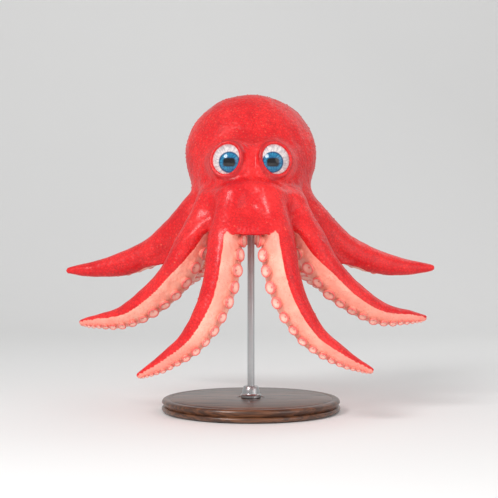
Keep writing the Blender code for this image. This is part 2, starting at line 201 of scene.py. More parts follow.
SUCKERS_START = 0.0150  # how far from the mouth's middle the first sucker sits
SUCKERS_END = 0.985  # how far along its arm the last one sits
CROWN_SUCKER = (0.0042, 0.0058)  # across the first one's rim, and how much it grows by the crown's edge
SUCKER_SIZE = 0.0122  # across the rim of one on a full-sized stretch of arm
SUCKER_STEP = (1.14, 1.07)  # from one to the next, in rims: on the crown and along the arm
SUCKER_LIFT = 0.030  # how far off the arm the search for the skin under a sucker starts
SUCKER_LEAN = (0.45, 0.55)  # a sucker faces between the skin's way out and the sole's: shares of each
# (radius, height, mark) for a cup one unit across; its marks colour the stalk, rim and hollow
SUCKER_PROFILE = [(0.34, -0.12, 0.0), (0.35, 0.10, 0.1), (0.455, 0.235, 0.5), (0.50, 0.330, 0.9),
                  (0.460, 0.400, 1.0), (0.375, 0.385, 1.2), (0.250, 0.270, 1.6), (0.115, 0.190, 1.75),
                  (0.0, 0.150, 2.0)]
WART_PROFILE = [(0.50, -0.12, 0.0), (0.42, 0.05, 0.3), (0.27, 0.19, 0.8), (0.0, 0.27, 1.0)]

EYE_BULGE = 0.0005  # how far the clear cornea stands out in front
EYE_RINGS = 56
JAWS = ((1, 0.0036, 0.0052), (-1, 0.0030, 0.0040))  # each jaw's side, its reach to that side and its drop
JAW_HALF_WIDTH = 0.0034
JAW_HALF_THICKNESS = 0.00132
SHARP = math.radians(38)  # the stand's edges stay sharp where its faces meet at more than this

# How light soaks into the skin and its warts, the suckers and the eyes, and how wet they look
SKIN_GLOSS = {"Subsurface Weight": 0.12, "Subsurface Radius": (0.0040, 0.0014, 0.0009),
              "Subsurface Scale": 1.0, "Coat Weight": 0.22, "Coat Roughness": 0.14,
              "Specular IOR Level": 0.30}
SUCKER_GLOSS = {**SKIN_GLOSS, "Subsurface Weight": 0.15, "Subsurface Radius": (0.0040, 0.0016, 0.0010),
                "Coat Weight": 0.45, "Coat Roughness": 0.10, "Specular IOR Level": 0.45}
EYE_GLOSS = {"Coat Weight": 0.5, "Coat Roughness": 0.02, "Specular IOR Level": 0.35}
PUPIL = (13, 13, 18)  # nearly black
GRAIN = 340.0  # skin grains to a metre
# Each light's name, place, size, power and aim
LIGHTS = (("key", (-0.70, -0.95, 1.00), 0.55, 11.0, (0, 0, 0.17)),
          ("fill", (1.05, -0.95, 0.50), 1.1, 4.1, (0, 0, 0.15)),
          ("rim", (0.70, 0.60, 1.00), 1.0, 2.0, (0, 0, 0.2)),
          ("under", (0.0, -0.75, 0.04), 0.6, 2.2, (0, 0, 0.12)))

SKIN_STEP = 0.00184  # size of the skin's faces
SWELL = 0.00018  # how uneven the skin is over a few centimetres
CREASE = 0.00013  # and over one
FAR = 0.05  # stands for "nowhere near"
RIGHTWARDS = np.array([1.0, 0.0, 0.0])


# ---------------------------------------------------------------- shapes

def unit(v):
    return v / np.linalg.norm(v, axis=-1, keepdims=True)


def dot(a, b):
    return (a * b).sum(-1)


def distances(offsets):
    return np.linalg.norm(offsets, axis=1)


def ease(x):
    """0 to 1 along a smooth S, for x from 0 to 1."""
    x = np.clip(x, 0.0, 1.0)
    return x * x * (3 - 2 * x)


def smooth_min(a, b, reach):
    """The nearer of two surfaces, rounded into each other over the reach."""
    h = np.clip(0.5 + 0.5 * (b - a) / reach, 0.0, 1.0)
    return b + (a - b) * h - reach * h * (1 - h)


def smooth_max(a, b, reach):
    return -smooth_min(-a, -b, reach)


def crown_way(angle):
    """The way out from the crown's centre at an angle from the front, in the ring's own plane."""
    out = -math.cos(angle)
    return np.array([math.sin(angle), out * math.cos(CROWN_TILT), -out * math.sin(CROWN_TILT)])


CROWN_AXIS = np.array([0.0, math.sin(CROWN_TILT), math.cos(CROWN_TILT)])
MANTLE_AXIS = np.array([0.0, math.sin(MANTLE_LEAN), math.cos(MANTLE_LEAN)])
MANTLE_BACK = np.array([0.0, math.cos(MANTLE_LEAN), -math.sin(MANTLE_LEAN)])


def catmull_rom(points, steps=24):
    """A smooth line through the points."""
    ends = [2 * points[0] - points[1], *points, 2 * points[-1] - points[-2]]
    line = []
    for a, b, c, d in zip(ends, ends[1:], ends[2:], ends[3:]):
        for t in np.arange(steps) / steps:
            line.append(0.5 * (2 * b + (c - a) * t + (2 * a - 5 * b + 4 * c - d) * t ** 2
                               + (3 * b - a - 3 * c + d) * t ** 3))
    return np.array([*line, points[-1]])


class Limb:
    """An arm or a web: only the points near its box are measured against it."""

    def near(self, points):
        return ((points > self.low - self.MARGIN) & (points < self.high + self.MARGIN)).all(1)


class Arm(Limb):
    """An arm's centreline with the way its sides and suckers face, sampled evenly along it."""

    COUNT, MARGIN = 240, 0.034

    def __init__(self, name, side):
        row = ARMS[name]
        mirror = np.array([1.0 if side == "left" else -1.0, 1.0, 1.0])
        self.angle = math.radians(row["leaves"]) * mirror[0]
        through = np.array([CROWN + CROWN_RADIUS * crown_way(math.radians(row["leaves"])), *row["through"]])
        if side == "left":
            through += (np.arange(len(through)) / (len(through) - 1))[:, None] ** 1.5 * row["drift"]
        line = catmull_rom(list(through)) * mirror
        self.stout = row["stout"]
        lengths = np.concatenate([[0.0], np.cumsum(distances(np.diff(line, axis=0)))])
        self.length = lengths[-1]
        self.u = np.linspace(0.0, 1.0, self.COUNT)
        self.step = self.length / (self.COUNT - 1)

        def at(u):
            reach = np.clip(u, 0, 1) * self.length
            return np.stack([np.interp(reach, lengths, line[:, k]) for k in range(3)], -1)

        def square(way):
            return unit(way - self.along * dot(self.along, way)[:, None])

        self.centre = at(self.u)
        self.along = unit(at(self.u + 0.01) - at(self.u - 0.01))
        start, end = row["twist"]
        turn = ease((self.u - start) / (end - start))[:, None]
        down, sole = square(np.array([0.0, 0.0, -1.0])), square(unit(np.array(row["sole"])) * mirror)
        self.sole = square((1 - turn) * down + turn * sole)
        self.across = np.cross(self.along, self.sole)
        self.low, self.high = self.centre.min(0), self.centre.max(0)
        self.webbed = {1: 0.0, -1: 0.0}  # how far along it each side carries a web
        self.slant = {1: 0.0, -1: 0.0}  # and how much further down it comes here than on its other arm

    def size(self, u):
        """Share of the full size: stoutest a little way out, then tapering to a fine tip."""
        swell = ROOT_SHARE + (1 - ROOT_SHARE) * ease(u / STOUTEST)
        return self.stout * swell * (1 - (1 - TIP_SHARE) * np.clip(u, 0, 1) ** TAPER)

    def sample(self, values, u):
        return np.stack([np.interp(u, self.u, values[:, k]) for k in range(3)], -1)

    def side_line(self, u, sign):
        """Where a web grows from one side of the arm."""
        reach = sign * (ARM_HALF_WIDTH * self.size(u) - WEB_TUCK)[..., None]
        return self.sample(self.centre, u) + reach * self.sample(self.across, u)

    def local(self, points):
        """Share of the arm's length, then the distances across it, out of its sole and beyond its ends."""
        near = nearest_index(points, self.centre)
        step = np.clip(dot(points - self.centre[near], self.along[near]) / self.step, -1, 1)
        place = np.clip(near + step, 0, self.COUNT - 1)
        low = np.minimum(place.astype(int), self.COUNT - 2)
        part = (place - low)[:, None]

        def mix(values):
            return values[low] * (1 - part) + values[low + 1] * part

        offset = points - mix(self.centre)
        return (place / (self.COUNT - 1), dot(offset, mix(self.across)), dot(offset, mix(self.sole)),
                dot(offset, mix(self.along)))

    def distance(self, points):
        """Distance, about, to the arm's flesh, and how far round to the sucker side each point lies."""
        u, across, out, past = self.local(points)
        size = self.size(u)
        width, back, depth = size * ARM_HALF_WIDTH, size * ARM_BACK, size * ARM_SOLE
        ridge = SOLE_RIDGE * size * np.exp(-(across / (RIDGE_SHARE * width)) ** 2)
        lowered = out - np.where(out > 0, ridge * np.clip(out / depth, 0, 1), 0)
        power = np.where(out > 0, *SQUARENESS)
        height = np.where(out > 0, depth, back)
        x, y = np.abs(across) / width + 1e-6, np.abs(lowered) / height + 1e-6
        total = (x ** power + y ** power) ** (1 / power)
        slope = np.hypot(x ** (power - 1) / width, y ** (power - 1) / height) / total ** (power - 1)
        flat = (total - 1) / slope
        inner = ROUND_END * width
        ended = np.hypot(np.maximum(flat + inner, 0), past) - inner
        webbed, slant = (np.where(across > 0, sides[1], sides[-1]) for sides in (self.webbed, self.slant))
        beyond = (u - webbed) * self.length
        border = RED_EDGE * ease(beyond / RED_FADE + 0.25) * depth * (1 - 0.25 * ease((u - 0.7) / 0.3))
        strip = RED_STRIP * slant * np.exp(-(beyond / RED_FADE) ** 2)
        soft = RED_SOFT * width
        sole = ease((out - border) / soft + 0.5) * ease(((1.1 - strip) * width - np.abs(across)) / soft + 0.5)
        return np.where(np.abs(past) > 1e-5, np.maximum(flat, ended), flat), sole


def nearest_index(points, line, block=20000):
    """Index of the nearest point of a line for each point, a block at a time."""
    found = np.empty(len(points), int)
    squares = (line ** 2).sum(1)
    for start in range(0, len(points), block):
        found[start:start + block] = (squares - 2 * points[start:start + block] @ line.T).argmin(1)
    return found


class Web(Limb):
    """The sheet of skin between two arms: its middle surface as a fine grid, from root to free edge."""

    ROWS, COLUMNS, MARGIN = 46, 46, 0.024

    def __init__(self, a_line, b_line, reach, scoop, pull):
        f = np.linspace(0.0, 1.0, self.ROWS)[:, None]
        t = np.linspace(0.0, 1.0, self.COLUMNS)[None, :]
        depth = f * (1 - scoop * 4 * t * (1 - t))
        a_line.webbed[1], b_line.webbed[-1] = reach[0] / a_line.length, reach[1] / b_line.length
        a_line.slant[1], b_line.slant[-1] = max(reach[0] - reach[1], 0), max(reach[1] - reach[0], 0)
        ua, ub = (depth * (min(reach) + (furthest - min(reach)) * f * f) / line.length
                  for furthest, line in zip(reach, (a_line, b_line)))
        a, b = a_line.side_line(ua, 1), b_line.side_line(ub, -1)
        out_a, out_b = a_line.sample(a_line.across, ua), -b_line.sample(b_line.across, ub)
        pull = pull * np.linalg.norm(b - a, axis=-1, keepdims=True)
        c, d = a + pull * out_a, b + pull * out_b
        t = t[..., None]
        s = 1 - t
        points = (s ** 3 * a + 3 * s * s * t * c + 3 * s * t * t * d + t ** 3 * b).reshape(-1, 3)
        k = (np.arange(self.ROWS - 1)[:, None] * self.COLUMNS + np.arange(self.COLUMNS - 1)).ravel()
        corners = [k, k + self.COLUMNS, k + 1, k + 1, k + self.COLUMNS, k + self.COLUMNS + 1]
        faces = np.stack(corners, -1).reshape(-1, 3)
        self.edge = np.repeat(np.arange(self.ROWS - 1) / (self.ROWS - 1), 2 * (self.COLUMNS - 1))
        self.red_from = 1 - RED_MARGIN / min(reach) - 0.10  # the back's red runs round the free edge
        self.tree = BVHTree.FromPolygons(points.tolist(), faces.tolist())
        self.low, self.high = points.min(0), points.max(0)

    def distance(self, points):
        """Distance to the web's skin, and 1 on its inner face, where the suckers are, 0 on its outer."""
        apart = np.full(len(points), FAR)
        side = np.zeros(len(points))
        place = np.ones(len(points))
        find = self.tree.find_nearest
        for k, point in enumerate(points.tolist()):
            found, normal, index, distance = find(point, 0.030)
            if found is not None:
                apart[k] = distance
                side[k] = (point[0] - found[0]) * normal[0] + (point[1] - found[1]) * normal[1] \
                    + (point[2] - found[2]) * normal[2]
                place[k] = self.edge[index]
        half = WEB_ROOT_HALF + (WEB_MARGIN_HALF - WEB_ROOT_HALF) * place
        inside = ease(0.5 - side / 0.0012) * (1 - ease((place - self.red_from) / 0.10))
        return apart - half, inside


class Ripple:
    """Soft, seeded unevenness: a sum of waves of about one length, in every direction."""

    def __init__(self, seed, length, count=14):
        chance = np.random.default_rng(seed)
        ways = unit(chance.normal(size=(count, 3)))
        self.ways = ways * 2 * math.pi / (length * chance.uniform(0.75, 1.35, (count, 1)))
        self.phases = chance.uniform(0, 2 * math.pi, count)

    def __call__(self, points):
        return np.sin(points @ self.ways.T + self.phases).sum(1) / math.sqrt(len(self.phases))


def egg_distance(points, centre, axes, radii, swell=(0.0, 0.0)):
    """Distance, about, to an egg about the last of its three axes, fuller at that axis's far end."""
    offset = points - centre
    place = [dot(offset, axis) for axis in axes]
    along = np.clip(place[2] / radii[2], -1.3, 1.3)
    sizes = (radii[0] * (1 + swell[0] * along), radii[1] * (1 + swell[1] * along), radii[2])
    share = np.sqrt(sum((p / size) ** 2 for p, size in zip(place, sizes))) + 1e-9
    slope = np.sqrt(sum((p / size ** 2) ** 2 for p, size in zip(place, sizes))) + 1e-9
    return share * (share - 1) / slope


def eye_axes(side, out=EYE_FACING):
    """An eye's centre, then the ways across it, up it and out of it."""
    facing = unit(out * (side, 1, 1))
    across = unit(np.cross((0.0, 0.0, 1.0), facing))
    return EYE * (side, 1, 1), across, np.cross(facing, across), facing


def from_eyes(points):
    """Distance to the nearer eyeball's centre."""
    return np.minimum(*(distances(points - EYE * (side, 1, 1)) for side in (1, -1)))


def eye_place(points, side):
    """How far round the eyeball each point is from the lids' opening, and how far from its centre."""
    centre, across, up, facing = eye_axes(side)
    offset = points - centre
    radius = distances(offset) + 1e-9
    polar = np.arccos(np.clip(dot(offset, facing) / radius, -1, 1))
    h, v = dot(offset, across), dot(offset, up)
    size = np.hypot(h, v) + 1e-9
    opening = 1 / np.sqrt((h / size / EYE_OPENING[0]) ** 2 + (v / size / EYE_OPENING[1]) ** 2)
    return polar - opening, radius


def funnel_distance(points):
    """Distance, about, to the funnel's tube, and to the hole in its end."""
    way = FUNNEL_TIP - FUNNEL_ROOT
    length = np.linalg.norm(way)
    way = way / length
    along = dot(points - FUNNEL_ROOT, way)
    radial = distances(points - FUNNEL_ROOT - along[:, None] * way)
    share = np.clip(along / length, 0, 1)
    outer = radial - (FUNNEL_RADII[0] + (FUNNEL_RADII[1] - FUNNEL_RADII[0]) * share ** 1.6)
    tube = smooth_max(outer, along - length, 0.0016)
    tube = smooth_max(tube, -along - 0.006, 0.004)
    bore = np.maximum(radial - FUNNEL_BORE, length - FUNNEL_BORE_DEPTH - along)
    return tube, bore


class Flesh:
    """The whole animal as one distance: negative inside, zero on the skin."""

    def __init__(self):
        self.arms = {(name, side): Arm(name, side) for side in ("left", "right") for name in ARMS}
        self.limbs = [(arm, ARM_BLEND) for arm in self.arms.values()]
        self.limbs += [(Web(*row), WEB_BLEND) for row in self.web_rows()]
        self.swell, self.crease = Ripple(3, 0.030), Ripple(8, 0.0105)

    def web_rows(self):
        """The two arms and the sizes of each web, once round the crown from the animal's front."""
        ring = [(name, "left") for name in ARMS] + [(name, "right") for name in reversed(ARMS)]
        for a, b in zip(ring[-1:] + ring, ring):
            names = a[0], b[0]
            reach, *rest = WEBS.get(names) or WEBS[names[::-1]]
            yield self.arms[a], self.arms[b], reach if names in WEBS else reach[::-1], *rest

    def head(self, points):
        """The head with its orbits."""
        head = (distances((points - HEAD) / HEAD_RADII) - 1) * HEAD_RADII.min()
        for side in (1, -1):
            centre, _, _, facing = eye_axes(side)
            orbit = distances(points - (centre - ORBIT_DEPTH * facing)) - ORBIT_RADIUS - BROW
            head = smooth_min(head, orbit, ORBIT_BLEND)
        return head

    def __call__(self, points, parts=False):
        """The distance, and with parts also how much of the sucker side's colour each point has."""
        everywhere = np.ones(len(points), bool)
        seen = []

        def join(flesh, part, blend, sole=0.0):
            seen.append((everywhere, part, sole))
            return smooth_min(flesh, part, blend)

        flesh = np.full(len(points), FAR)
        for limb, blend in self.limbs:
            near = limb.near(points)
            found, sole = limb.distance(points[near])
            flesh[near] = smooth_min(flesh[near], found, blend)
            seen.append((near, found, sole))
        crown_axes = RIGHTWARDS, crown_way(math.pi), CROWN_AXIS
        crown = egg_distance(points, CROWN + CROWN_RISE * CROWN_AXIS, crown_axes, CROWN_RADII)
        flesh = join(flesh, crown, CROWN_BLEND, ease(0.5 - dot(points - CROWN, CROWN_AXIS) / CROWN_SOFT))
        collar = egg_distance(points, CROWN + COLLAR_RISE * CROWN_AXIS, crown_axes, COLLAR_RADII)
        flesh = join(flesh, collar, COLLAR_BLEND)
        blend = HEAD_BLEND[0] + HEAD_BLEND[1] * ease((from_eyes(points) - FROM_EYES[0]) / FROM_EYES[1])
        under = ease(0.5 - (points[:, 2] - HEAD_FOOT[0]) / HEAD_FOOT[1])
        flesh = join(flesh, self.head(points), blend, under)
        aside = np.abs(points[:, 0])
        behind = ease((points[:, 1] - BEHIND[0]) / BEHIND[1]) * (1 - ease((aside - BESIDE[0]) / BESIDE[2]))
        beside = ease((aside - BESIDE[1]) / BESIDE[2])
        blend = MANTLE_BLEND[0] + MANTLE_BLEND[1] * behind + MANTLE_BLEND[2] * beside
        mantle_axes = RIGHTWARDS, MANTLE_BACK, MANTLE_AXIS
        flesh = join(flesh, egg_distance(points, MANTLE, mantle_axes, MANTLE_RADII, MANTLE_SWELL), blend)
        tube, bore = funnel_distance(points)
        flesh = smooth_max(join(flesh, tube, FUNNEL_BLEND), -bore, 0.0012)
        flesh = self.mouth(points, flesh) + SWELL * self.swell(points) + CREASE * self.crease(points)
        flesh = self.lids(points, flesh)
        if not parts:
            return flesh
        nearest = np.full(len(points), FAR)
        for near, found, _ in seen:
            nearest[near] = np.minimum(nearest[near], found)
        weight, total = np.zeros(len(points)), np.zeros(len(points))
        for near, found, sole in seen:
            share = np.exp(-(found - nearest[near]) / PART_SOFT)
            weight[near] += share
            total[near] += share * sole
        return flesh, total / weight

    def mouth(self, points, flesh):
        """A dimple in the middle of the arms with a ring of lips round it."""
        centre = np.array([CROWN[0], CROWN[1], MOUTH_HEIGHT])
        offset = points - centre
        radial = np.hypot(offset[:, 0], offset[:, 1])
        dimple = distances(offset + (0, 0, 0.003)) - 1.25 * MOUTH_RADIUS
        flesh = smooth_max(flesh, -dimple, 0.003)
        lips = np.hypot(radial - MOUTH_RADIUS, offset[:, 2]) - LIP_THICKNESS
        return smooth_min(flesh, lips, 0.0012)

    def lids(self, points, flesh):
        """Opens each orbit over its eyeball, with a rolled rim and two folds round it."""
        for side in (1, -1):
            near = distances(points - EYE * (side, 1, 1)) < LID_REACH
            outside, radius = eye_place(points[near], side)
            skin = flesh[near]
            for depth, place, width in LID_FOLDS:
                skin = skin + depth * np.exp(-((outside * EYE_RADIUS - place) / width) ** 2)
            opening = np.maximum(outside * radius, np.abs(radius - EYE_RADIUS - LID_CUT[0]) - LID_CUT[1])
            skin = smooth_max(skin, -opening, CUT_BLEND)
            rim = np.hypot(outside * EYE_RADIUS, radius - EYE_RADIUS - LID_OUT) - LID_THICKNESS
            flesh[near] = smooth_min(skin, rim, RIM_BLEND)
        return flesh


# ---------------------------------------------------------------- the skin

def skin_grid(flesh, low, high, step):
    """Distances on an even grid, worked out fully only near the skin."""
    counts = np.ceil((high - low) / (4 * step)).astype(int) * 4 + 1
    values = None
    for jump, extra in ((4, 0.0), (2, 0.0035), (1, 0.0)):
        shape = (counts - 1) // jump + 1
        axes = [low[k] + np.arange(shape[k]) * jump * step for k in range(3)]
        if values is None:
            chosen = np.ones(shape, bool)
            values = np.zeros(shape)
        else:
            old = values
            values = np.empty(shape)
            values[::2, ::2, ::2] = old
            values[1::2, ::2, ::2] = 0.5 * (old[:-1] + old[1:])
            values[:, 1::2, ::2] = 0.5 * (values[:, :-1:2, ::2] + values[:, 2::2, ::2])
            values[:, :, 1::2] = 0.5 * (values[:, :, :-1:2] + values[:, :, 2::2])
            chosen = np.abs(values) < 1.9 * jump * step + extra
        index = np.nonzero(chosen)
        points = np.stack([axes[k][index[k]] for k in range(3)], -1)
        values[index] = flesh(points)
    return values


def put(name, data):
    """A mesh, light or camera as an object in the scene."""
    made = bpy.data.objects.new(name, data)
    bpy.context.scene.collection.objects.link(made)
    return made


def new_object(name, points, faces):
    mesh = bpy.data.meshes.new(name)
    mesh.from_pydata(np.asarray(points).tolist(), [], [list(map(int, face)) for face in faces])
    mesh.shade_smooth()
    return put(name, mesh)


def face_outwards(mesh):
    """Turns the faces of a closed mesh so that all look out."""
    shape = bmesh.new()
    shape.from_mesh(mesh)
    bmesh.ops.recalc_face_normals(shape, faces=shape.faces)
    if shape.calc_volume(signed=True) < 0:
        bmesh.ops.reverse_faces(shape, faces=shape.faces)
    shape.to_mesh(mesh)
    shape.free()


def add_values(mesh, name, values, kind="FLOAT"):
    """Keeps a number or a vector on each point of a mesh."""
    layer = mesh.attributes.new(name, kind, "POINT")
    values = np.asarray(values, dtype=np.float32).ravel()
    layer.data.foreach_set("value" if kind == "FLOAT" else "vector", values)


def values_of(mesh, name):
    values = np.empty(len(mesh.vertices), dtype=np.float32)
    mesh.attributes[name].data.foreach_get("value", values)
    return values


def finished(piece, slot, material=None, *nodes):
    """Puts a piece on the body, in its material and in place of its nodes."""
    if material:
        piece.data.materials.append(material)
    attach(piece, "root")
    if nodes:
        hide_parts(*nodes)
    return piece


def mesh_points(mesh):
    points = np.empty(3 * len(mesh.vertices))
    mesh.vertices.foreach_get("co", points)
    return points.reshape(-1, 3)


def settle(mesh, flesh, rounds=3):
    """Moves every point of the mesh onto the skin."""
    points = mesh_points(mesh).astype(float)
    small, furthest = 0.00025, 0.0012
    for k in range(rounds):
        here = flesh(points)
        if k == 0:
            slope = [flesh(points + small * way) - flesh(points - small * way) for way in np.eye(3)]
            slope = np.stack(slope, -1) / (2 * small)
            slope /= np.maximum((slope ** 2).sum(1, keepdims=True), 0.15)
        points -= np.clip(here, -furthest, furthest)[:, None] * slope
    mesh.vertices.foreach_set("co", points.ravel())
    mesh.update()


def refine_near_eyes(mesh, reach=0.0215, cuts=2):
    """Smaller faces round the lids."""
    shape = bmesh.new()
    shape.from_mesh(mesh)
    eyes = [Vector(EYE * (side, 1, 1)) for side in (1, -1)]
    for _ in range(cuts):
        edges = [edge for edge in shape.edges if min((edge.verts[0].co - eye).length for eye in eyes) < reach]
        bmesh.ops.subdivide_edges(shape, edges=edges, cuts=1, use_grid_fill=True)
    bmesh.ops.triangulate(shape, faces=[face for face in shape.faces if len(face.verts) > 4])
    shape.to_mesh(mesh)
    shape.free()


def build_skin(flesh, material):
    """One closed skin over arms, webs, head, mantle and funnel."""
    names = [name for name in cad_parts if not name.startswith(("stand_", "eye_"))]
    corners = np.array([np.array(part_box(name)) for name in names])
    margin = 0.006
    low, high = corners[:, 0].min(0) - margin, corners[:, 1].max(0) + margin
    step = SKIN_STEP * 1.0
    values = skin_grid(flesh, low, high, step)
    grid = openvdb.FloatGrid(1.0)
    grid.copyFromArray(values.astype(np.float32))
    points, _, quads = grid.convertToPolygons(isovalue=0.0, adaptivity=0.0)
    skin = new_object("skin", low + np.asarray(points) * step, quads)
    refine_near_eyes(skin.data)
    settle(skin.data, flesh)
    face_outwards(skin.data)
    skin.data.shade_smooth()
    points = mesh_points(skin.data).astype(float)
    _, sole = flesh(points, parts=True)
    add_values(skin.data, "sole", sole)
    add_values(skin.data, "lid", lid_share(points))
    add_values(skin.data, "tip", tip_share(flesh, points))
    return finished(skin, "skin", material, *names)


def lid_share(points):
    """1 on the rolled rims round the eyes, 0 away from them."""
    share = np.zeros(len(points))
    for side in (1, -1):
        outside, radius = eye_place(points, side)
        share = np.maximum(share, np.exp(-(outside * EYE_RADIUS / 0.0022) ** 2) * (radius < 0.023))
    return share


def tip_share(flesh, points):
    """How far out along its arm each point lies, 0 off the arms."""
    share = np.zeros(len(points))
    nearest = np.full(len(points), FAR)
    for arm in flesh.arms.values():
        near = np.nonzero(arm.near(points))[0]
        found, _ = arm.distance(points[near])
        closer = found < nearest[near]
        u = arm.local(points[near])[0]
        share[near[closer]] = u[closer]
        nearest[near[closer]] = found[closer]
    return share


# ---------------------------------------------------------------- what repeats

class Value:
    """An output socket of a node. Sums written with it in Python become Math nodes."""

    def __init__(self, graph, socket):
        self.graph, self.socket = graph, socket


def maths(operation):
    """One sum on values, and the same with the value on its right."""
    def here(self, other):
        return self.graph.node("ShaderNodeMath", {"operation": operation}, {0: self, 1: other})

    def reflected(self, other):
        return self.graph.node("ShaderNodeMath", {"operation": operation}, {0: other, 1: self})

    return here, reflected


Value.__add__, Value.__radd__ = maths("ADD")
Value.__sub__, Value.__rsub__ = maths("SUBTRACT")
Value.__mul__, Value.__rmul__ = maths("MULTIPLY")
Value.__truediv__, Value.__rtruediv__ = maths("DIVIDE")
Value.__pow__, Value.__rpow__ = maths("POWER")


class Graph:
    """The nodes of a shape or a finish, and one way to add any of them."""

    def __init__(self, tree):
        self.tree = tree

    def node(self, kind, settings=None, inputs=None, output=0):
        made = self.tree.nodes.new(kind)
        for name, value in (settings or {}).items():
            setattr(made, name, value)
        for key, value in (inputs or {}).items():
            if isinstance(value, Value):
                self.tree.links.new(value.socket, made.inputs[key])
            elif value is not None:
                made.inputs[key].default_value = value
        return Value(self, made.outputs[output]) if made.outputs else None


class Growth(Graph):
    """A Geometry Nodes tree with named inputs, for what repeats."""

    def __init__(self, name, inputs):
        super().__init__(bpy.data.node_groups.new(name, "GeometryNodeTree"))
        self.name, self.given = name, {}
        for label, kind, value in [("Geometry", "Geometry", None), *inputs]:
            socket = self.tree.interface.new_socket(label, in_out="INPUT", socket_type="NodeSocket" + kind)
            self.given[socket.identifier] = value
        self.tree.interface.new_socket("Geometry", in_out="OUTPUT", socket_type="NodeSocketGeometry")
        self.start = self.node("NodeGroupInput").socket.node

    def input(self, label):
        return Value(self, self.start.outputs[label])

    def attribute(self, name, kind="FLOAT"):
        return self.node("GeometryNodeInputNamedAttribute", {"data_type": kind}, {"Name": name})

    def chance(self, low, high, kind="FLOAT"):
        """An even draw between two values, one for each place."""
        first = 2 if kind == "FLOAT" else 0
        inputs = {first: low, first + 1: high, "Seed": self.input("Seed")}
        return self.node("FunctionNodeRandomValue", {"data_type": kind}, inputs, first // 2)

    def set_out(self, label, points, turn, size):
        """The object given as an input, once at each point."""
        shape = self.node("GeometryNodeObjectInfo", None, {"Object": self.input(label)}, "Geometry")
        return self.node("GeometryNodeInstanceOnPoints", None, {
            "Points": points, "Instance": shape, "Rotation": turn, "Scale": size})

    def grow(self, carrier, geometry):
        """The finished tree's result on the carrier, as a plain mesh object of its own."""
        real = self.node("GeometryNodeRealizeInstances", None, {0: geometry})
        inputs = {"Geometry": real, "Material": self.input("Material")}
        dressed = self.node("GeometryNodeSetMaterial", None, inputs)
        self.node("NodeGroupOutput", None, {0: dressed})
        modifier = carrier.modifiers.new(self.name, "NODES")
        modifier.node_group = self.tree
        for identifier, value in self.given.items():
            if value is not None:
                modifier[identifier] = value
        graph = bpy.context.evaluated_depsgraph_get()
        mesh = bpy.data.meshes.new_from_object(carrier.evaluated_get(graph), depsgraph=graph)
        carrier.modifiers.remove(modifier)
        mesh.name = self.name
        mesh.shade_smooth()
        return put(self.name, mesh)


def lathe(name, profile, around, closed=False):
    """A round shape about +Z from (radius, height) or (radius, height, mark) rows; a point keeps its mark."""
    points, faces, marks, rings = [], [], [], []
    for radius, height, *mark in profile:
        rings.append((len(points), around if radius > 0 else 1))
        for n in range(rings[-1][1]):
            turn = 2 * math.pi * n / around
            points.append((radius * math.cos(turn), radius * math.sin(turn), height))
            marks += mark
    for (low, low_count), (high, high_count) in zip(rings, rings[1:] + rings[:1] * closed):
        for n in range(around):
            after = (n + 1) % around
            corners = (low + n % low_count, low + after % low_count,
                       high + after % high_count, high + n % high_count)
            faces.append(tuple(dict.fromkeys(corners)))
    made = new_object(name, points, faces)
    if marks:
        add_values(made.data, "mark", marks)
    return made


def sucker_rows(arm):
    """Places along an arm, from beside the mouth to its tip: each centre, the way out and the size."""
    radius = SUCKERS_START
    while radius < CROWN_RADIUS - 0.003:
        size = CROWN_SUCKER[0] + CROWN_SUCKER[1] * (radius - SUCKERS_START) / (CROWN_RADIUS - SUCKERS_START)
        yield CROWN + radius * crown_way(arm.angle), -CROWN_AXIS, size
        radius += SUCKER_STEP[0] * size
    place = (radius - CROWN_RADIUS) / arm.length
    while place < SUCKERS_END:
        size = SUCKER_SIZE * float(arm.size(place)) ** 1.05
        yield arm.sample(arm.centre, place), unit(arm.sample(arm.sole, place)), size
        place += SUCKER_STEP[1] * size / arm.length


def build_suckers(flesh, skin, material):
    """One row of cups along each arm, each set on the skin."""
    faces = [tuple(face.vertices) for face in skin.data.polygons]
    tree = BVHTree.FromPolygons(mesh_points(skin.data).tolist(), faces)
    points, turns, sizes = [], [], []
    for arm in flesh.arms.values():
        for centre, sole, size in sucker_rows(arm):
            hit, normal, *_ = tree.ray_cast(Vector(centre + SUCKER_LIFT * sole), Vector(-sole), 0.040)
            if hit is None or (np.array(hit) - centre) @ sole < 0:
                continue
            facing = unit(SUCKER_LEAN[0] * np.array(normal) + SUCKER_LEAN[1] * sole)
            points.append(np.array(hit) - 0.04 * size * facing)
            turns.append(Vector(facing).to_track_quat("Z", "Y").to_euler())
            sizes.append(size)
    carrier = new_object("sucker_places", points, [])
    add_values(carrier.data, "turn", [tuple(turn) for turn in turns], "FLOAT_VECTOR")
    add_values(carrier.data, "size", sizes)
    cup = lathe("sucker_cup", SUCKER_PROFILE, 14)
    g = Growth("suckers", [("Cup", "Object", cup), ("Size", "Float", 1.0), ("Unevenness", "Float", 0.06),
                           ("Lean", "Float", 0.10), ("Seed", "Int", 5), ("Material", "Material", material)])

    def scaled(vector, scale):
        return g.node("ShaderNodeVectorMath", {"operation": "SCALE"}, {0: vector, "Scale": scale})

    def rotation(euler):
        return g.node("FunctionNodeEulerToRotation", None, {0: euler})

    lean = scaled((1.0, 1.0, 1.0), g.input("Lean"))
    tilt = g.chance(scaled(lean, -1.0), lean, "FLOAT_VECTOR")
    tilted = g.node("FunctionNodeRotateRotation", {"rotation_space": "LOCAL"},
                    {0: rotation(g.attribute("turn", "FLOAT_VECTOR")), 1: rotation(tilt)})
    uneven = g.chance(1.0 - g.input("Unevenness"), 1.0 + g.input("Unevenness"))
    size = g.attribute("size") * uneven * g.input("Size")
    suckers = g.grow(carrier, g.set_out("Cup", g.input("Geometry"), tilted, size))
    for helper in (carrier, cup):
        bpy.data.objects.remove(helper)
    return finished(suckers, "skin")


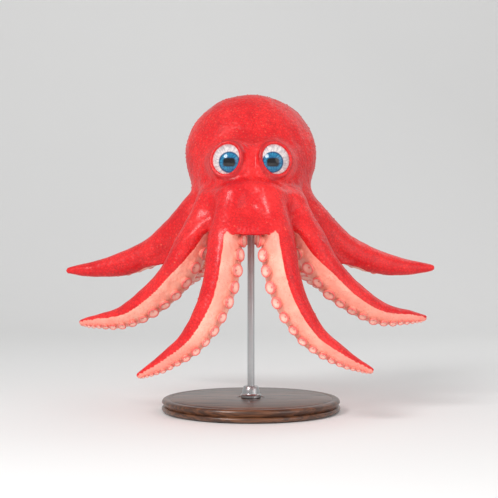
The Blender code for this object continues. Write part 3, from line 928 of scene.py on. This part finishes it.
def build_warts(skin, material):
    """Low round papillae, thickest on the mantle, fewer along the arms' backs, none at the lids."""
    points = mesh_points(skin.data).astype(float)
    patch = ease(0.5 + 0.35 * Ripple(21, 0.028)(points))
    sole, tip = values_of(skin.data, "sole"), values_of(skin.data, "tip")
    thick = (1 - ease(sole * 6)) * (0.25 + 0.75 * patch)
    off_lids, on_arms = ease((from_eyes(points) - 0.0195) / 0.003), ease((tip - 0.15) / 0.6)
    thick *= off_lids * (1 - on_arms)
    thick *= 0.35 + 0.65 * ease((points[:, 2] - 0.195) / 0.03)
    add_values(skin.data, "warty", thick)
    wart = lathe("wart", WART_PROFILE, 8)
    g = Growth("warts", [("Wart", "Object", wart), ("Density", "Float", 60000.0),
                         ("Spacing", "Float", 0.0024), ("Smallest", "Float", 0.0010),
                         ("Largest", "Float", 0.0024), ("Seed", "Int", 11),
                         ("Material", "Material", material)])
    spread = g.node("GeometryNodeDistributePointsOnFaces", {"distribute_method": "POISSON"}, {
        "Mesh": g.input("Geometry"), "Distance Min": g.input("Spacing"), "Density Max": g.input("Density"),
        "Density Factor": g.attribute("warty"), "Seed": g.input("Seed")})
    turn = Value(g, spread.socket.node.outputs["Rotation"])
    size = g.chance(0.0, 1.0) ** 2.2 * (g.input("Largest") - g.input("Smallest")) + g.input("Smallest")
    warts = g.grow(skin, g.set_out("Wart", spread, turn, size))
    bpy.data.objects.remove(wart)
    return finished(warts, "skin")


# ---------------------------------------------------------------- eyes, beak and stand

def build_eye(name, side, material):
    """The eyeball, with its front bulging a little where the clear cornea is."""
    profile = []
    for k in range(EYE_RINGS + 1):
        polar = math.pi * k / EYE_RINGS
        radius = EYE_RADIUS + EYE_BULGE * math.exp(-(polar / 0.50) ** 2)
        profile.append((radius * math.sin(polar) if 0 < k < EYE_RINGS else 0, radius * math.cos(polar)))
    eye = lathe(name, profile, 72)
    local = mesh_points(eye.data)
    centre, *axes = eye_axes(side, GAZE)
    eye.data.vertices.foreach_set("co", (centre + local @ np.array(axes)).ravel())
    face_outwards(eye.data)
    add_values(eye.data, "eye_plane", local, "FLOAT_VECTOR")
    return finished(eye, "eye", material, name.replace("eyeball", "eye"))


def build_beak(material):
    """The dark tips of the two jaws in the middle of the lips."""
    centre = np.array([CROWN[0], CROWN[1], MOUTH_HEIGHT + 0.0020])
    rows, around = 9, 12
    points, faces = [], []
    for side, reach, drop in JAWS:
        start = len(points)
        for t in np.linspace(0.0, 1.0, rows):
            width = JAW_HALF_WIDTH * math.sqrt(1 - t * t) + 0.0002
            thickness = JAW_HALF_THICKNESS * (1 - 0.8 * t)
            for turn in np.arange(around) * 2 * math.pi / around:
                out = side * reach * (1 - t ** 1.5) + thickness * math.sin(turn)
                points.append(centre + (width * math.cos(turn), out, -drop * t))
        for low in range(start, len(points) - around, around):
            for n in range(around):
                after = (n + 1) % around
                faces.append((low + n, low + after, low + after + around, low + n + around))
        faces += [range(start, start + around), range(len(points) - around, len(points))]
    beak = new_object("beak", points, faces)
    face_outwards(beak.data)
    return finished(beak, "skin", material)


def turned(name, profile, around, material, slot, node, closed=False):
    """A piece of the stand, turned about the rod's axis from (radius, height) pairs."""
    made = lathe(name, profile, around, closed)
    face_outwards(made.data)
    made.data.set_sharp_from_angle(angle=SHARP)
    return finished(made, slot, material, node)


def arc(across, up, radius, start, end, count):
    """(radius, height) pairs round part of a circle in a profile, angles in degrees."""
    turns = [math.radians(start + (end - start) * k / count) for k in range(count + 1)]
    return [(across + radius * math.cos(turn), up + radius * math.sin(turn)) for turn in turns]


def build_stand(wood, steel):
    """The turned base, the steel collar and the rod."""
    rim, high = BASE_RADIUS, BASE_HEIGHT
    turned("turned_base", [
        (0, 0.0), (rim - 0.0045, 0.0), (rim - 0.0040, 0.0004), *arc(rim - 0.0022, 0.0030, 0.0022, -90, 60, 8),
        *arc(rim - 0.0034, 0.0062, 0.0012, -60, 0, 3), *arc(rim - 0.0032, 0.0086, 0.0030, 0, 90, 8),
        (rim - 0.0060, high - 0.0004), (rim - 0.0070, high - 0.0009), (rim - 0.0080, high - 0.0004),
        (rim - 0.0090, high), (0.0125, high), (0.0120, high - 0.0005), (0, high - 0.0005),
    ], 160, wood, "base_wood", "stand_base")
    foot, top = BASE_HEIGHT - 0.0002, BASE_HEIGHT + 0.0003 + COLLAR_HEIGHT
    rim, bore = COLLAR_RADIUS, ROD_RADIUS
    turned("collar", [
        (bore, foot), (rim - 0.0004, foot), (rim, foot + 0.0004), (rim, foot + 0.0022),
        (rim - 0.0004, foot + 0.0026), *arc(rim + 0.0012, foot + 0.0050, 0.0024, 250, 170, 5),
        (rim - 0.0022, top - 0.0006), (rim - 0.0028, top), (bore + 0.0003, top), (bore, top - 0.0003),
    ], 96, steel, "rod_steel", "stand_collar", closed=True)
    inside = bore - 0.00005
    turned("rod", [
        (0, foot), (inside, foot), (inside, ROD_TOP - 0.001), (bore - 0.001, ROD_TOP), (0, ROD_TOP),
    ], 48, steel, "rod_steel", "stand_rod")


# ---------------------------------------------------------------- finishes

def paint(colour):
    """A screen colour, red, green and blue of 0 to 255, as the light it stands for. A node's is kept."""
    if isinstance(colour, Value):
        return colour
    shares = (part / 255 for part in colour)
    return (*(c / 12.92 if c <= 0.04045 else ((c + 0.055) / 1.055) ** 2.4 for c in shares), 1.0)


class Finish(Graph):
    """A material's nodes, with short ways to the ones that come up often."""

    def __init__(self, name):
        self.material = bpy.data.materials.new(name)
        self.material.use_nodes = True
        super().__init__(self.material.node_tree)
        self.tree.nodes.clear()

    def place(self, scale=None, shift=(0.0, 0.0, 0.0)):
        """Object coordinates, stretched where a scale is given."""
        here = self.node("ShaderNodeTexCoord", output="Object")
        if scale is None:
            return here
        return self.node("ShaderNodeMapping", None, {"Vector": here, "Scale": scale, "Location": shift})

    def mark(self, name, output="Fac"):
        return self.node("ShaderNodeAttribute", {"attribute_name": name}, output=output)

    def sum(self, operation, first, second=None):
        return self.node("ShaderNodeMath", {"operation": operation}, {0: first, 1: second})

    def between(self, value, low, high):
        """0 below low, 1 above high, with a soft step between."""
        return self.node("ShaderNodeMapRange", {"interpolation_type": "SMOOTHSTEP", "clamp": True},
                         {"Value": value, "From Min": low, "From Max": high})

    def noise(self, scale, detail=2.0, roughness=0.5, place=None, output=0):
        return self.node("ShaderNodeTexNoise", None, {"Vector": place or self.place(), "Scale": scale,
                                                      "Detail": detail, "Roughness": roughness}, output)

    def wavy(self):
        """Object coordinates, stirred a little so that cells lose their straight sides."""
        stir = self.node("ShaderNodeVectorMath", {"operation": "SUBTRACT"},
                         {0: self.noise(240.0, 2.0, output=1), 1: (0.5, 0.5, 0.5)})
        return self.node("ShaderNodeVectorMath", {"operation": "MULTIPLY_ADD"},
                         {0: stir, 1: (0.0024, 0.0024, 0.0024), 2: self.place()})

    def cells(self, scale, place=None, feature="F1"):
        return self.node("ShaderNodeTexVoronoi", {"feature": feature},
                         {"Vector": place or self.place(), "Scale": scale, "Randomness": 1.0})

    def dots(self, scale, low, high):
        """1 in the middle of each cell of a pattern, 0 beyond."""
        return 1 - self.between(self.cells(scale), low, high)

    def colours(self, base, *layers):
        """A base colour under layers, each a share from 0 to 1 and the colour it brings."""
        for share, colour in layers:
            inputs = {0: share, 6: paint(base), 7: paint(colour)}
            base = self.node("ShaderNodeMix", {"data_type": "RGBA"}, inputs, 2)
        return base

    def bump(self, height, distance, strength=1.0, under=None):
        inputs = {"Height": height, "Distance": distance, "Strength": strength, "Normal": under}
        return self.node("ShaderNodeBump", None, inputs)

    def surface(self, colour, roughness, normal=None, gloss=None):
        """Closes the material and hands it over."""
        inputs = {"Base Color": colour, "Roughness": roughness, "Normal": normal, **(gloss or {})}
        shader = self.node("ShaderNodeBsdfPrincipled", None, inputs, "BSDF")
        self.node("ShaderNodeOutputMaterial", None, {"Surface": shader})
        return self.material


def back_colours(f):
    """Orange-red back: broad clouds, painted shade in the grooves between the skin's grains, fine dark colour
    spots and sparse paler freckles.
    """
    clouds = f.between(f.noise(34.0, 3.0, 0.55), 0.33, 0.68)
    patches = f.between(f.noise(92.0, 4.0, 0.65), 0.50, 0.66)
    # painted shade: the grooves between the skin's raised grains are darkened
    off_grooves = f.between(f.cells(GRAIN, f.wavy(), "DISTANCE_TO_EDGE"), 0.00, 0.26)
    spots = f.dots(640.0, 0.18, 0.42) * f.between(f.noise(120.0, 2.0), 0.40, 0.62)
    freckles = f.dots(210.0, 0.08, 0.22) * f.between(f.noise(55.0), 0.50, 0.64)
    return f.colours((223, 21, 28), (clouds, (243, 45, 45)), (patches * 0.30, (178, 20, 30)),
                     ((1 - off_grooves) * 0.32, (150, 12, 24)), (spots * 0.40, (120, 10, 22)),
                     (freckles * 0.40, (255, 138, 104)))


def sole_colours(f, tip):
    """Salmon sucker side, pinker at the arms' tips, with painted shade as a deeper pink at the arms' roots by
    the mouth, and a fine pink stipple.
    """
    warm = f.between(f.noise(60.0, 3.0), 0.30, 0.72)
    # the deeper pink at the arms' roots is painted shade, not the skin's own colour
    tips, root_shade = f.between(tip, 0.62, 0.97), 1 - f.between(tip, 0.10, 0.34)
    stipple = f.dots(700.0, 0.16, 0.40) * f.between(f.noise(95.0), 0.42, 0.60)
    return f.colours((247, 160, 140), (warm, (252, 186, 164)), (tips * 0.6, (248, 128, 116)),
                     (root_shade * 0.65, (246, 118, 110)), (stipple * 0.40, (226, 88, 84)))


def skin_relief(f):
    """Fine wrinkles and grain of wet skin."""
    grains = 1 - f.between(f.cells(GRAIN, f.wavy(), "SMOOTH_F1"), 0.10, 0.70)
    relief = f.bump(f.noise(900.0, 2.0, 0.6), 0.00016, 0.5)
    relief = f.bump(grains, 0.00036, 0.8, under=relief)
    return f.bump(f.noise(150.0, 3.0, 0.55), 0.0012, 0.45, under=relief)


def skin_finish():
    f = Finish("wet_skin")
    sole, tip, lid = f.mark("sole"), f.mark("tip"), f.mark("lid")
    edge = f.between(sole + (f.noise(260.0, 2.0) - 0.5) * 0.30, 0.38, 0.62)
    # painted shade: the lids' rims are darkened where they meet the eyeballs, a painted contact shadow
    lid_shade = f.between(lid, 0.35, 0.95)
    colour = f.colours(back_colours(f), (edge, sole_colours(f, tip)), (lid_shade * 0.55, (150, 18, 26)))
    roughness = 0.42 + (f.noise(150.0, 2.0) - 0.5) * 0.16
    return f.surface(colour, roughness, skin_relief(f), SKIN_GLOSS)


def wart_finish():
    f = Finish("wart_skin")
    tops = f.between(f.mark("mark"), 0.25, 1.0)
    colour = f.colours(back_colours(f), (tops * 0.30, (252, 120, 92)))
    return f.surface(colour, 0.34, skin_relief(f), SKIN_GLOSS)


def sucker_finish():
    """Pink rims round paler cups, on salmon stalks."""
    f = Finish("sucker_skin")
    mark = f.mark("mark")
    warm = f.between(f.noise(180.0, 2.0), 0.3, 0.7)
    stalk = f.colours((248, 150, 134), (warm, (251, 172, 152)))
    rim = f.colours((238, 100, 96), (warm, (246, 128, 118)))
    cup = f.colours((252, 188, 172), (warm, (253, 202, 186)))
    colour = f.colours(stalk, (f.between(mark, 0.30, 0.62), rim), (f.between(mark, 1.05, 1.55), cup),
                       (f.between(mark, 1.70, 2.0), (238, 92, 94)))
    return f.surface(colour, 0.30, f.bump(f.noise(900.0, 2.0), 0.0004, 0.5), SUCKER_GLOSS)


def eye_finish():
    """Silver-white outer iris, blue inner iris with fibres, and a dark level bar for a pupil, wide open."""
    f = Finish("eye_gloss")
    parts = f.node("ShaderNodeSeparateXYZ", None, {0: f.mark("eye_plane", "Vector")}).socket.node.outputs
    x, y = Value(f, parts[0]), Value(f, parts[1])
    far, turn = f.sum("SQRT", x * x + y * y), f.sum("ARCTAN2", y, x)
    rays = {0: f.sum("COSINE", turn), 1: f.sum("SINE", turn), 2: far * 35.0}
    fibres = f.noise(7.5, 3.0, 0.7, place=f.node("ShaderNodeCombineXYZ", None, rays))
    iris = f.colours((8, 70, 120), (f.between(fibres, 0.34, 0.66), (42, 142, 178)))
    silver = f.colours((176, 158, 164), (f.between(fibres, 0.3, 0.7), (236, 224, 222)))
    ring = f.between(far, 0.0074, 0.0085) * (1 - f.between(far, 0.0087, 0.0095))
    slit = (x / 0.0050) ** 4 + (y / 0.0035) ** 4
    halo, pupil = 1 - f.between(slit, 1.0, 3.2), 1 - f.between(slit, 0.80, 1.20)
    colour = f.colours(iris, (f.between(far, 0.0084, 0.0094), silver), (ring * 0.75, (18, 50, 96)),
                       (halo * 0.6, (12, 36, 80)), (pupil, PUPIL))
    return f.surface(colour, 0.16, None, EYE_GLOSS)


def beak_finish():
    f = Finish("beak_horn")
    colour = f.colours((34, 20, 16), (f.between(f.noise(420.0, 2.0), 0.35, 0.65), (78, 46, 30)))
    return f.surface(colour, 0.28, f.bump(f.noise(1400.0, 2.0), 0.0002, 0.5), {"Coat Weight": 0.3})


def wood_finish():
    """Dark walnut under satin lacquer: straight grain with fine pores."""
    f = Finish("walnut_lacquer")
    bands = f.noise(1.6, 4.0, 0.6, place=f.place((3.0, 34.0, 34.0), (0.3, 0.11, 0.0)))
    grain = f.between(f.sum("SINE", bands * 46.0), -0.9, 0.9)
    pores = f.between(f.noise(1.0, 2.0, 0.5, place=f.place((40.0, 900.0, 900.0))), 0.60, 0.72)
    clouds = f.between(f.noise(18.0, 2.0), 0.3, 0.7)
    colour = f.colours((70, 42, 27), (grain, (112, 70, 44)), (pores * 0.65, (34, 20, 14)),
                       (clouds * 0.25, (58, 34, 22)))
    return f.surface(colour, 0.36 + pores * 0.16, f.bump(1 - pores, 0.0001, 0.5),
                     {"Coat Weight": 0.35, "Coat Roughness": 0.18})


def steel_finish():
    """Stainless steel with fine turning lines round it."""
    f = Finish("brushed_steel")
    scratch = f.noise(1.0, 3.0, 0.6, place=f.place((60.0, 60.0, 5200.0)))
    colour = f.colours((176, 178, 180), (scratch, (206, 207, 208)))
    return f.surface(colour, 0.24 + scratch * 0.16, f.bump(scratch, 0.00003, 0.6), {"Metallic": 1.0})


def floor_finish():
    f = Finish("pale_floor")
    colour = f.colours((240, 240, 240), (f.noise(1.4, 2.0), (244, 244, 243)))
    return f.surface(colour, 0.75, None, {"Specular IOR Level": 0.2})


# ---------------------------------------------------------------- the room

def build_room():
    """A pale floor that curves up into a backdrop, soft lights and the camera."""
    scene = bpy.context.scene
    profile = [(-1.6, 0.0)]
    profile += [(0.9 + 0.7 * math.sin(a), 0.7 - 0.7 * math.cos(a)) for a in np.linspace(0, math.pi / 2, 14)]
    profile += [(1.6, 2.4)]
    points = [(x, y, z) for y, z in profile for x in (-2.6, 2.6)]
    faces = [(k, k + 1, k + 3, k + 2) for k in range(0, len(points) - 2, 2)]
    floor = new_object("floor", points, faces)
    floor.data.materials.append(floor_finish())
    floor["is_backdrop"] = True

    for name, place, size, power, aim in LIGHTS:
        light = bpy.data.lights.new(name, "AREA")
        light.shape, light.size, light.energy = "DISK", size, power
        lamp = put(name, light)
        lamp.location = place
        lamp.rotation_euler = (Vector(aim) - Vector(place)).to_track_quat("-Z", "Y").to_euler()
        lamp.visible_glossy = name != "under"

    world = bpy.data.worlds.new("studio")
    world.use_nodes = True
    sky = world.node_tree.nodes["Background"].inputs
    sky["Color"].default_value = (1, 1, 1, 1)
    sky["Strength"].default_value = 0.50
    scene.world = world
    scene.view_settings.view_transform = "Standard"

    lens = bpy.data.cameras.new("camera")
    lens.lens, lens.sensor_width = 82.0, 36.0
    scene.camera = put("camera", lens)
    scene.camera.location = (-0.00176, -1.019, 0.1452)
    scene.camera.rotation_euler = (math.radians(90), 0, 0)


def main():
    build_room()
    flesh = Flesh()
    skin = build_skin(flesh, skin_finish())
    build_suckers(flesh, skin, sucker_finish())
    build_warts(skin, wart_finish())
    eye_look = eye_finish()
    build_eye("eyeball_left", 1, eye_look)
    build_eye("eyeball_right", -1, eye_look)
    build_beak(beak_finish())
    build_stand(wood_finish(), steel_finish())
    boxes = {"cad": cad_box, "visual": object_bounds()}
    {name: [[float(v) for v in corner] for corner in box] for name, box in boxes.items()}


main()
